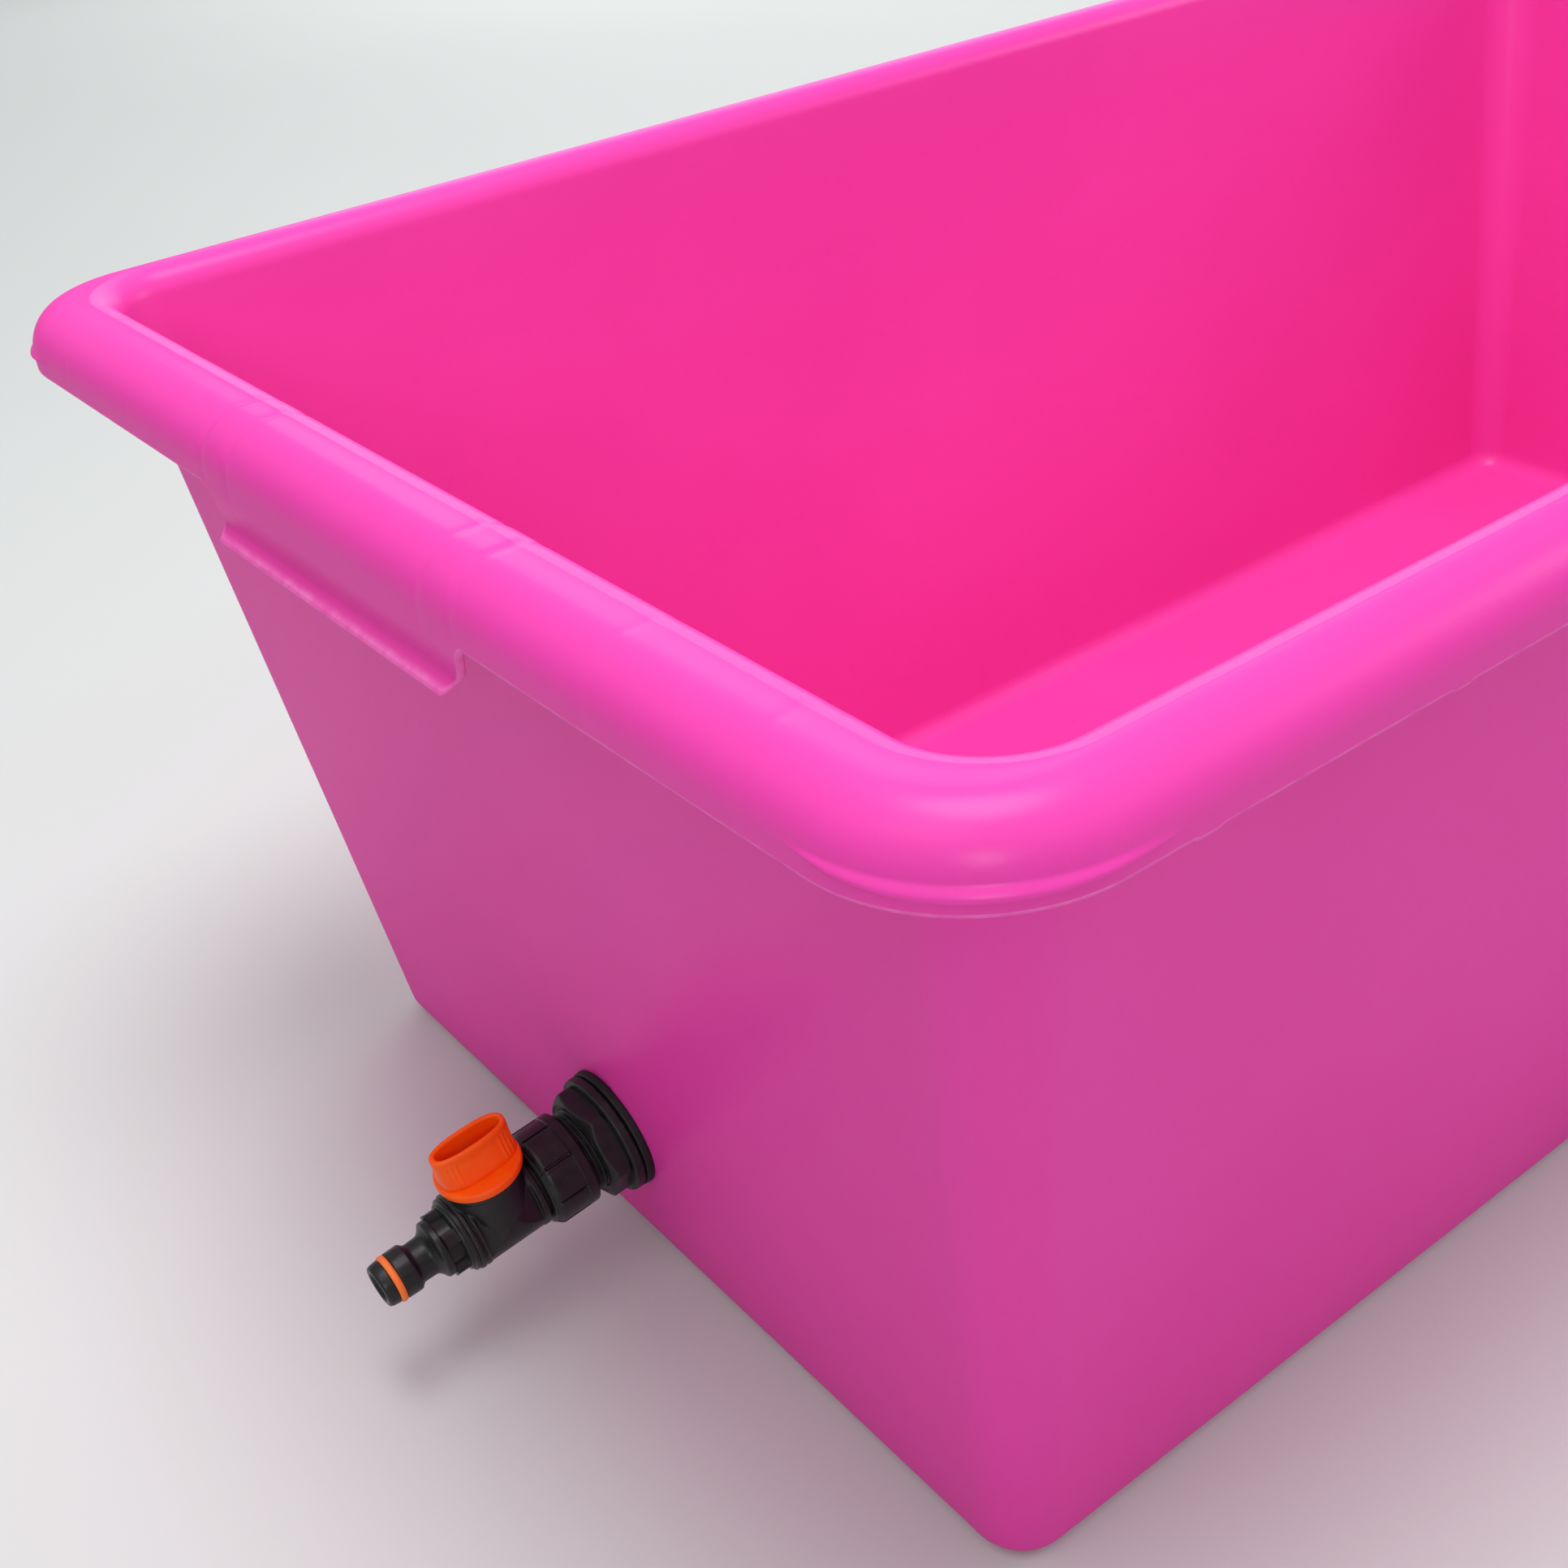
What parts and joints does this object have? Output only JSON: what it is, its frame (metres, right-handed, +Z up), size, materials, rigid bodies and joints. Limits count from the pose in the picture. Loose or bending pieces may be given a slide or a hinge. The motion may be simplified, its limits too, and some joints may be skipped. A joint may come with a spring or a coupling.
{
  "type": "pet bathtub",
  "caption": "Deep rectangular moulded pet bathtub with a rolled rim, grip flaps on the short ends, and a ball-valve drain tap with a push-fit hose nipple.",
  "frame": {"origin": "centre of the tub's flat base, on the surface it stands on", "axes": "+X along the tub towards the end without the tap, +Y across it, +Z up; the drain tap is on the -X end wall"},
  "size_m": [1.2538, 0.7, 0.43],
  "materials": {
    "pink_polyethylene": "satin moulded polyethylene",
    "black_nylon": "fine matt moulded, glass-filled",
    "black_rubber": "matt",
    "orange_plastic": "satin gloss moulded",
    "orange_rubber": "smooth",
    "white_ptfe": "waxy",
    "grey_acetal": "polished",
    "stainless_steel": "bright"
  },
  "bodies": {
    "tub": {"tub_shell": "pink_polyethylene", "bulkhead_body": "black_nylon", "inner_gasket": "black_rubber", "outer_gasket": "black_rubber", "bulkhead_nut": "black_nylon"},
    "union": {"union_washer": "black_rubber"},
    "union_nut": {"union_nut": "black_nylon"},
    "valve": {"inlet_tail": "black_nylon", "tail_o_ring": "black_rubber", "inlet_seat": "white_ptfe", "valve_body": "black_nylon", "outlet_seat": "white_ptfe", "hose_nipple": "black_nylon", "nipple_seal": "black_rubber", "nose_o_ring": "orange_rubber"},
    "knob": {"valve_knob": "orange_plastic", "knob_screw": "stainless_steel", "valve_stem": "black_nylon", "lower_stem_o_ring": "black_rubber", "upper_stem_o_ring": "black_rubber", "valve_ball": "grey_acetal"}
  },
  "joints": [
    {"name": "union_travel", "type": "slide", "parent": "tub", "child": "union", "axis": [-0.9929, 0, -0.1186], "range_m": [0, 0.0161]},
    {"name": "union_nut_spin", "type": "hinge", "parent": "union", "child": "union_nut", "pos_m": [-0.55905, 0, 0.07349], "axis": [-0.9929, 0, -0.1186], "range_deg": [0, 2520]},
    {"name": "valve_swivel", "type": "hinge", "parent": "union", "child": "valve", "pos_m": [-0.58983, 0, 0.06982], "axis": [-0.9929, 0, -0.1186], "continuous": true},
    {"name": "knob_turn", "type": "hinge", "parent": "valve", "child": "knob", "pos_m": [-0.58983, 0, 0.06982], "axis": [0.1186, 0, -0.9929], "range_deg": [0, 90]}
  ],
  "couplings": [
    {"joint": "union_nut_spin", "follows": "union_travel", "rad_per_m": 2721.2}
  ]
}
